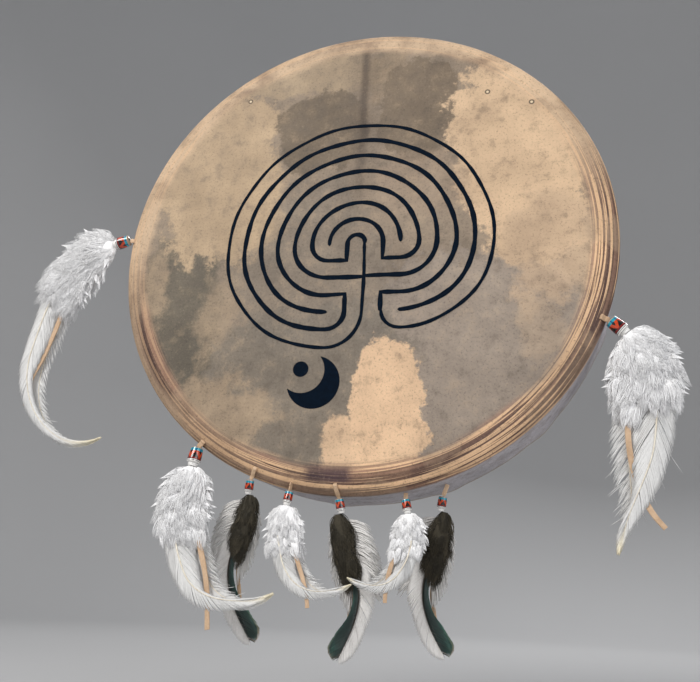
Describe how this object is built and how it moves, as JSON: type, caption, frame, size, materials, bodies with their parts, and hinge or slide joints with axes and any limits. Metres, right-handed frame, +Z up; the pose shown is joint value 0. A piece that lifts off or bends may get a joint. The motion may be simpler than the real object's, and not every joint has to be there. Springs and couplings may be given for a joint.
{
  "type": "frame drum",
  "caption": "Round hand drum: a rawhide head on a shallow wooden hoop, laced behind to a cross grip, with beaded feather pendants hung from its rim.",
  "frame": {"origin": "centre of the hand grip, on the axis of the hoop, 13.5 mm inside the back edge", "axes": "-Y out of the playing face towards the listener, +Y out of the back, +Z up as the drum hangs, +X to the right as the face is seen"},
  "size_m": [0.5263, 0.0847, 0.5202],
  "materials": {
    "hoop_wood": "bare bent wood, matt",
    "rawhide": "stretched rawhide, clouded tan and grey, satin",
    "rawhide_lace": "twisted rawhide lace, satin",
    "grip_leather": "wrapped brown leather, matt",
    "thong_leather": "soft tan thong leather, matt",
    "bead_glaze": "glossy glaze in turquoise, black and red",
    "white_down": "white down, matt",
    "white_hackle": "white hackle feathers, soft sheen",
    "dark_down": "near-black down, matt",
    "dark_hackle": "dark green and grey feathers, sheen"
  },
  "bodies": {
    "drum": {"hoop": "hoop_wood", "drum_head": "rawhide", "hand_grip": "grip_leather", "lace_run_01": "rawhide_lace", "lace_run_02": "rawhide_lace", "lace_run_03": "rawhide_lace", "lace_run_04": "rawhide_lace", "lace_run_05": "rawhide_lace", "lace_run_06": "rawhide_lace", "lace_run_07": "rawhide_lace", "lace_run_08": "rawhide_lace", "lace_run_09": "rawhide_lace", "lace_run_10": "rawhide_lace", "lace_run_11": "rawhide_lace", "lace_run_12": "rawhide_lace", "lace_run_13": "rawhide_lace", "lace_run_14": "rawhide_lace", "lace_run_15": "rawhide_lace"},
    "left_hanger": {"left_thong": "thong_leather"},
    "left_pendant": {"left_bead": "bead_glaze", "left_down": "white_down", "left_feathers": "white_hackle", "left_thong_tail": "thong_leather"},
    "right_hanger": {"right_thong": "thong_leather"},
    "right_pendant": {"right_bead": "bead_glaze", "right_down": "white_down", "right_feathers": "white_hackle", "right_thong_tail": "thong_leather"},
    "low_left_hanger": {"low_left_thong": "thong_leather"},
    "low_left_pendant": {"low_left_bead": "bead_glaze", "low_left_down": "white_down", "low_left_feathers": "white_hackle", "low_left_thong_tail": "thong_leather"},
    "first_dark_hanger": {"first_dark_thong": "thong_leather"},
    "first_dark_pendant": {"first_dark_bead": "bead_glaze", "first_dark_down": "dark_down", "first_dark_feathers": "dark_hackle", "first_dark_thong_tail": "thong_leather"},
    "low_middle_left_hanger": {"low_middle_left_thong": "thong_leather"},
    "low_middle_left_pendant": {"low_middle_left_bead": "bead_glaze", "low_middle_left_down": "white_down", "low_middle_left_feathers": "white_hackle", "low_middle_left_thong_tail": "thong_leather"},
    "second_dark_hanger": {"second_dark_thong": "thong_leather"},
    "second_dark_pendant": {"second_dark_bead": "bead_glaze", "second_dark_down": "dark_down", "second_dark_feathers": "dark_hackle", "second_dark_thong_tail": "thong_leather"},
    "low_middle_right_hanger": {"low_middle_right_thong": "thong_leather"},
    "low_middle_right_pendant": {"low_middle_right_bead": "bead_glaze", "low_middle_right_down": "white_down", "low_middle_right_feathers": "white_hackle", "low_middle_right_thong_tail": "thong_leather"},
    "third_dark_hanger": {"third_dark_thong": "thong_leather"},
    "third_dark_pendant": {"third_dark_bead": "bead_glaze", "third_dark_down": "dark_down", "third_dark_feathers": "dark_hackle", "third_dark_thong_tail": "thong_leather"}
  },
  "joints": [
    {"name": "left_swing", "type": "hinge", "parent": "drum", "child": "left_hanger", "pos_m": [-0.19871, -0.04808, 0.0139], "axis": [0, -1, 0], "range_deg": [-8, 20]},
    {"name": "left_tilt", "type": "hinge", "parent": "left_hanger", "child": "left_pendant", "pos_m": [-0.2046, -0.046, 0.01574], "axis": [-0.2419, 0, 0.9703], "range_deg": [-16, 55]},
    {"name": "right_swing", "type": "hinge", "parent": "drum", "child": "right_hanger", "pos_m": [0.18494, -0.04846, -0.07211], "axis": [0, -1, 0], "range_deg": [-12, 24]},
    {"name": "right_tilt", "type": "hinge", "parent": "right_hanger", "child": "right_pendant", "pos_m": [0.19152, -0.046, -0.07506], "axis": [-0.6947, 0, -0.7193], "range_deg": [-24, 55]},
    {"name": "low_left_swing", "type": "hinge", "parent": "drum", "child": "low_left_hanger", "pos_m": [-0.11374, -0.0483, -0.16305], "axis": [0, -1, 0], "range_deg": [-16, 22]},
    {"name": "low_left_tilt", "type": "hinge", "parent": "low_left_hanger", "child": "low_left_pendant", "pos_m": [-0.11822, -0.047, -0.16821], "axis": [-0.9925, 0, 0.1219], "range_deg": [-6, 45]},
    {"name": "first_dark_swing", "type": "hinge", "parent": "drum", "child": "first_dark_hanger", "pos_m": [-0.0685, -0.04966, -0.18321], "axis": [0, -1, 0], "range_deg": [-8, 18]},
    {"name": "first_dark_tilt", "type": "hinge", "parent": "first_dark_hanger", "child": "first_dark_pendant", "pos_m": [-0.07335, -0.045, -0.19207], "axis": [-0.9925, 0, 0.1219], "range_deg": [-40, 14]},
    {"name": "low_middle_left_swing", "type": "hinge", "parent": "drum", "child": "low_middle_left_hanger", "pos_m": [-0.03991, -0.04846, -0.19445], "axis": [0, -1, 0], "range_deg": [-12, 32]},
    {"name": "low_middle_left_tilt", "type": "hinge", "parent": "low_middle_left_hanger", "child": "low_middle_left_pendant", "pos_m": [-0.04114, -0.047, -0.20042], "axis": [-0.9925, 0, 0.1219], "range_deg": [-14, 42]},
    {"name": "second_dark_swing", "type": "hinge", "parent": "drum", "child": "second_dark_hanger", "pos_m": [-0.00646, -0.04992, -0.19469], "axis": [0, -1, 0], "range_deg": [-34, 2]},
    {"name": "second_dark_tilt", "type": "hinge", "parent": "second_dark_hanger", "child": "second_dark_pendant", "pos_m": [-0.00393, -0.044, -0.20476], "axis": [-0.9781, 0, -0.2079], "range_deg": [-32, 0]},
    {"name": "low_middle_right_swing", "type": "hinge", "parent": "drum", "child": "low_middle_right_hanger", "pos_m": [0.04422, -0.038, -0.19946], "axis": [0, -1, 0], "range_deg": [-18, 30]},
    {"name": "low_middle_right_tilt", "type": "hinge", "parent": "low_middle_right_hanger", "child": "low_middle_right_pendant", "pos_m": [0.04406, -0.038, -0.20379], "axis": [-0.9781, 0, -0.2079], "range_deg": [-2, 45]},
    {"name": "third_dark_swing", "type": "hinge", "parent": "drum", "child": "third_dark_hanger", "pos_m": [0.07258, -0.024, -0.19108], "axis": [0, -1, 0], "range_deg": [-15, 35]},
    {"name": "third_dark_tilt", "type": "hinge", "parent": "third_dark_hanger", "child": "third_dark_pendant", "pos_m": [0.06946, -0.024, -0.19945], "axis": [-0.9848, 0, 0.1736], "range_deg": [-42, 16]}
  ]
}
